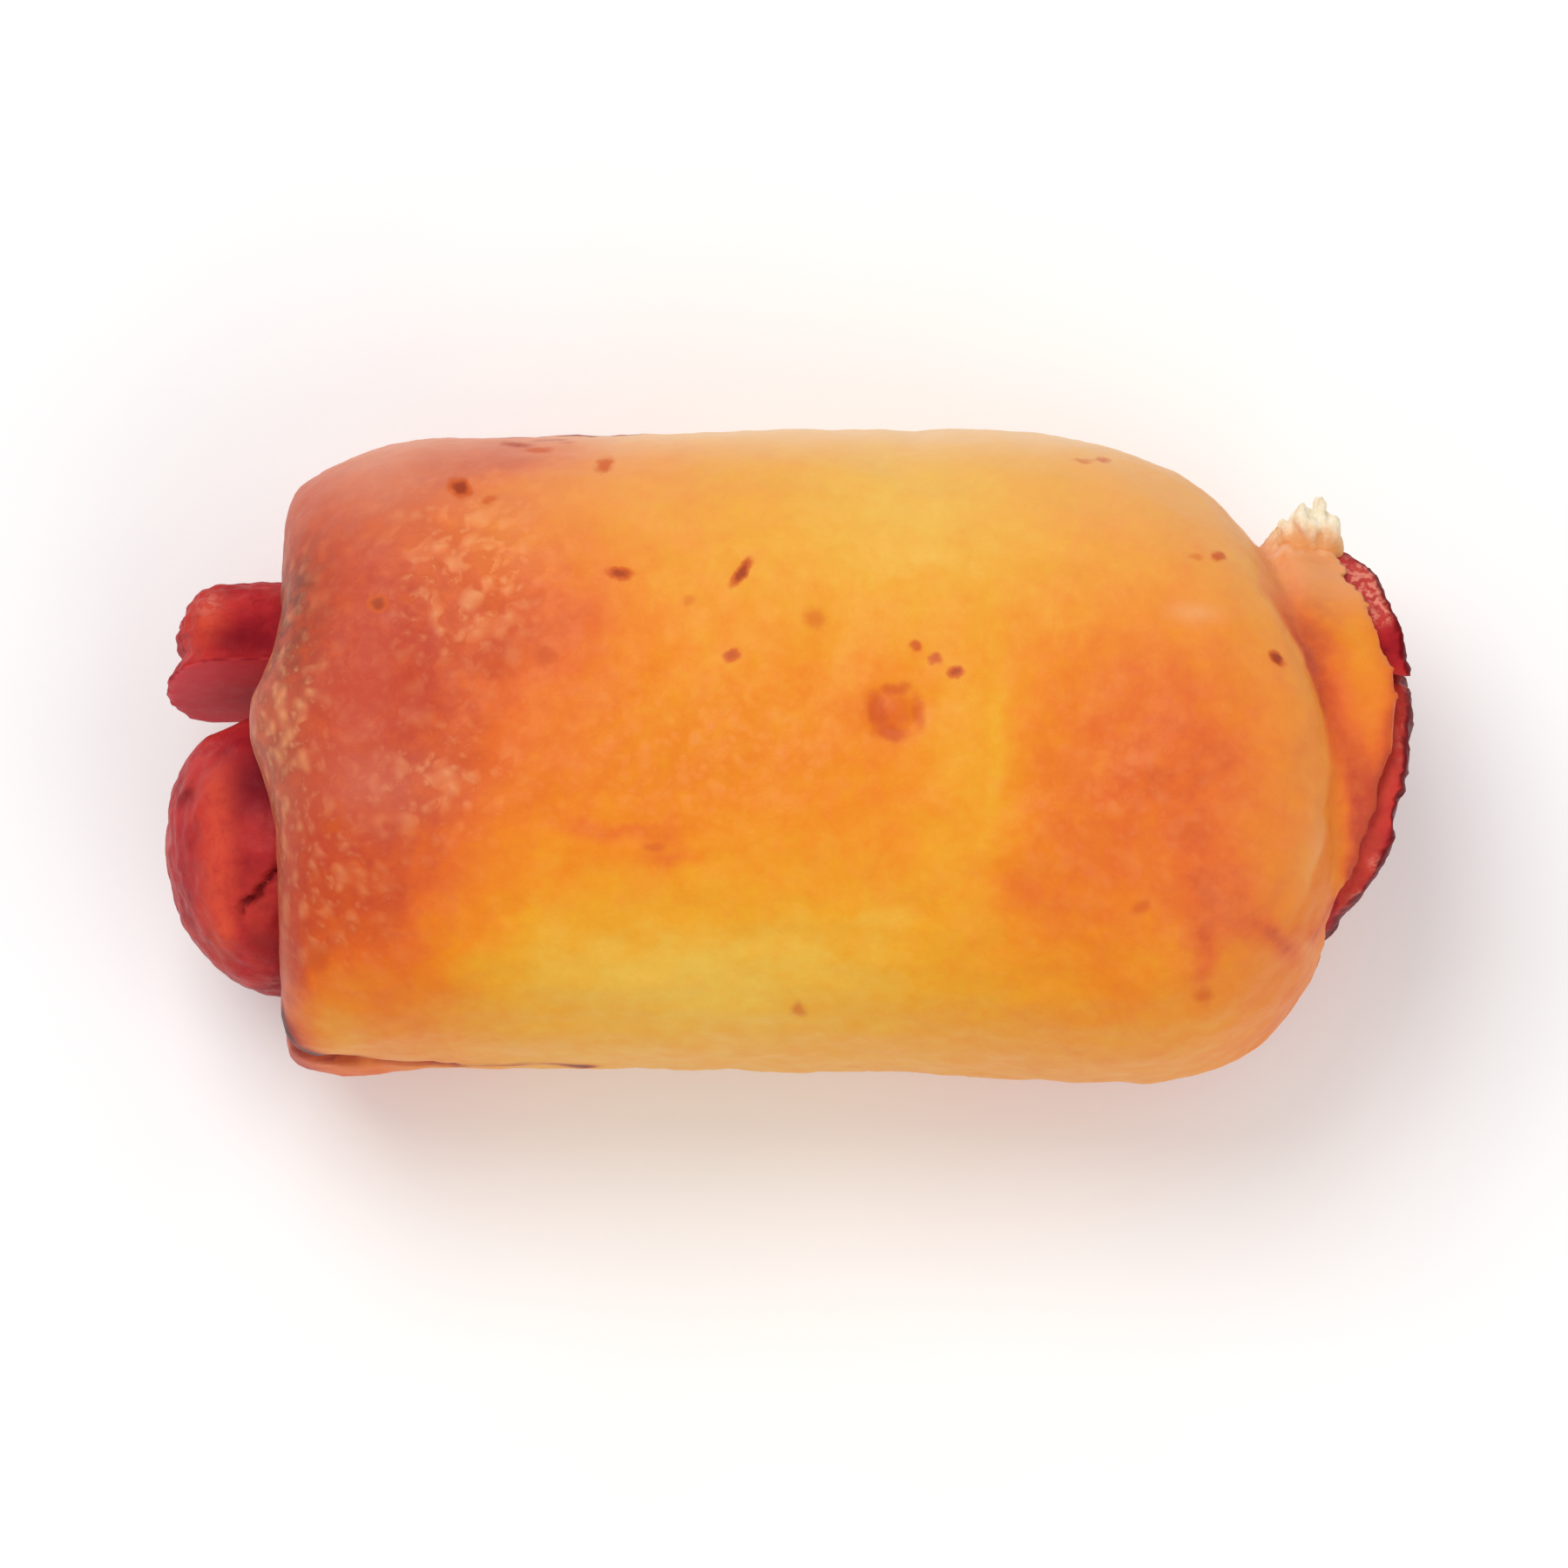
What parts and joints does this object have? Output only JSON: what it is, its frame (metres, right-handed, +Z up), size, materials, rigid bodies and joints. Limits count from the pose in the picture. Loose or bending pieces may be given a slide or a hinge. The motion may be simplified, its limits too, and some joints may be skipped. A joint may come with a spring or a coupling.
{
  "type": "hot dog",
  "caption": "Baked hot dog: a glazed golden roll of dough round a whole sausage and a sausage split lengthwise, whose ends show at both ends of the roll",
  "frame": {"origin": "on the surface the roll rests on, under the middle of its box", "axes": "+X along the roll towards the end where the inner turn of dough shows, +Y across it towards the split sausage, +Z up"},
  "size_m": [0.1147, 0.06, 0.044],
  "materials": {
    "baked_crust": "egg-washed baked dough, golden to red-brown, satin, with fine blisters",
    "sausage_skin": "crimson cooked skin, wrinkled, with a moist gloss",
    "split_sausage": "crimson cooked skin with a smoother pink-red cut face"
  },
  "bodies": {
    "root": {"bun": "baked_crust", "sausage_large": "sausage_skin", "sausage_small": "split_sausage"}
  },
  "joints": []
}
